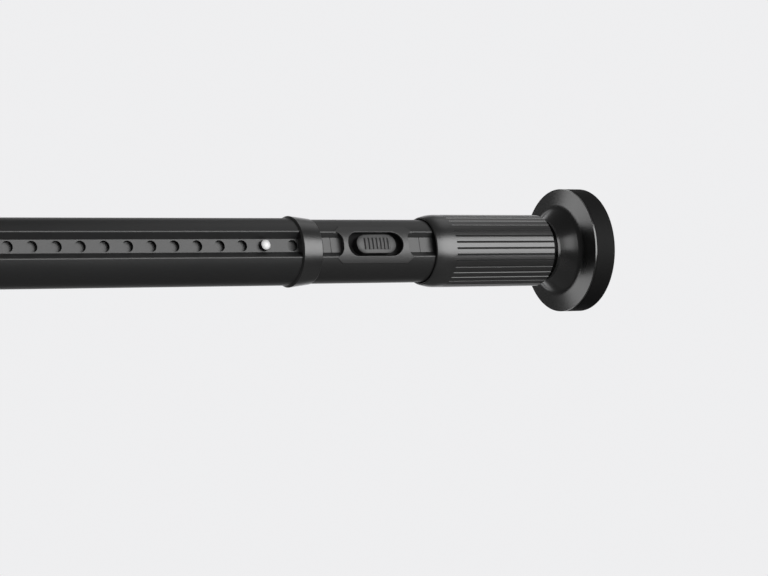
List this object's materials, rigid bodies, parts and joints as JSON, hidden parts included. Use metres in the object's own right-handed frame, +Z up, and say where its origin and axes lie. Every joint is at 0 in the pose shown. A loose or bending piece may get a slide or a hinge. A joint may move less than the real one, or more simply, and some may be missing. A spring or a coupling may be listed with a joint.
{
  "type": "spring tension rod",
  "caption": "Black telescopic tension rod that braces between two walls, with a channelled tube, index holes, snap button, thumb lock, fluted twist grip and padded flanges.",
  "frame": {"origin": "centre of the fixed end's wall face, on the rod's axis", "axes": "+X along the rod to the adjustable end, +Z up, the channel and thumb slide face -Y"},
  "size_m": [0.4511, 0.062, 0.062],
  "materials": {
    "tube_paint": "satin black powder coat",
    "satin_moulding": "satin black moulding",
    "gloss_moulding": "half-gloss black moulding",
    "matt_moulding": "fine-grained matt black moulding",
    "inner_moulding": "plain dark moulding",
    "pad_rubber": "matt black rubber",
    "bright_button": "polished steel",
    "plain_steel": "zinc-plated steel",
    "spring_steel": "oiled spring steel",
    "nut_brass": "turned brass"
  },
  "bodies": {
    "fixed_end": {"fixed_pad": "pad_rubber", "fixed_flange": "gloss_moulding", "fixed_plug": "inner_moulding", "fixed_flange_screw": "plain_steel", "inner_tube": "tube_paint", "inner_tube_bush": "inner_moulding", "snap_spring": "spring_steel"},
    "snap_button": {"snap_button": "bright_button"},
    "outer": {"outer_tube": "tube_paint", "entry_collar": "satin_moulding", "front_collar": "satin_moulding", "lock_tube": "satin_moulding", "lock_bezel": "matt_moulding", "spindle_guide": "inner_moulding", "guide_rivets": "plain_steel", "retaining_ring": "plain_steel"},
    "lock_slider": {"lock_thumb": "matt_moulding", "lock_bar": "plain_steel"},
    "grip": {"grip_sleeve": "satin_moulding", "drive_nut": "nut_brass", "lock_ring": "plain_steel", "thrust_washer": "plain_steel"},
    "spindle": {"spindle": "plain_steel", "spindle_head": "plain_steel"},
    "end_flange": {"wall_flange": "gloss_moulding", "neck_cap": "gloss_moulding", "wall_pad": "pad_rubber", "tension_spring": "spring_steel"}
  },
  "joints": [
    {"name": "telescope", "type": "slide", "parent": "fixed_end", "child": "outer", "axis": [1, 0, 0], "range_m": [0, 0.1392]},
    {"name": "button_press", "type": "slide", "parent": "fixed_end", "child": "snap_button", "axis": [0, 1, 0], "range_m": [0, 0.0034], "stiffness_N_per_m": 1500, "springref_m": -0.003, "deforming": ["snap_spring"]},
    {"name": "lock_slide", "type": "slide", "parent": "outer", "child": "lock_slider", "axis": [1, 0, 0], "range_m": [-0.0044, 0.0028]},
    {"name": "grip_twist", "type": "hinge", "parent": "outer", "child": "grip", "pos_m": [0.378, 0, 0], "axis": [1, 0, 0], "range_deg": [-1802, 62]},
    {"name": "spindle_screw", "type": "slide", "parent": "outer", "child": "spindle", "axis": [1, 0, 0], "range_m": [-0.0005, 0.015]},
    {"name": "flange_press", "type": "slide", "parent": "spindle", "child": "end_flange", "axis": [1, 0, 0], "range_m": [-0.003, 0], "stiffness_N_per_m": 8000, "springref_m": 0.004, "deforming": ["tension_spring"]}
  ],
  "couplings": [
    {"joint": "grip_twist", "follows": "spindle_screw", "rad_per_m": -2094.4}
  ]
}
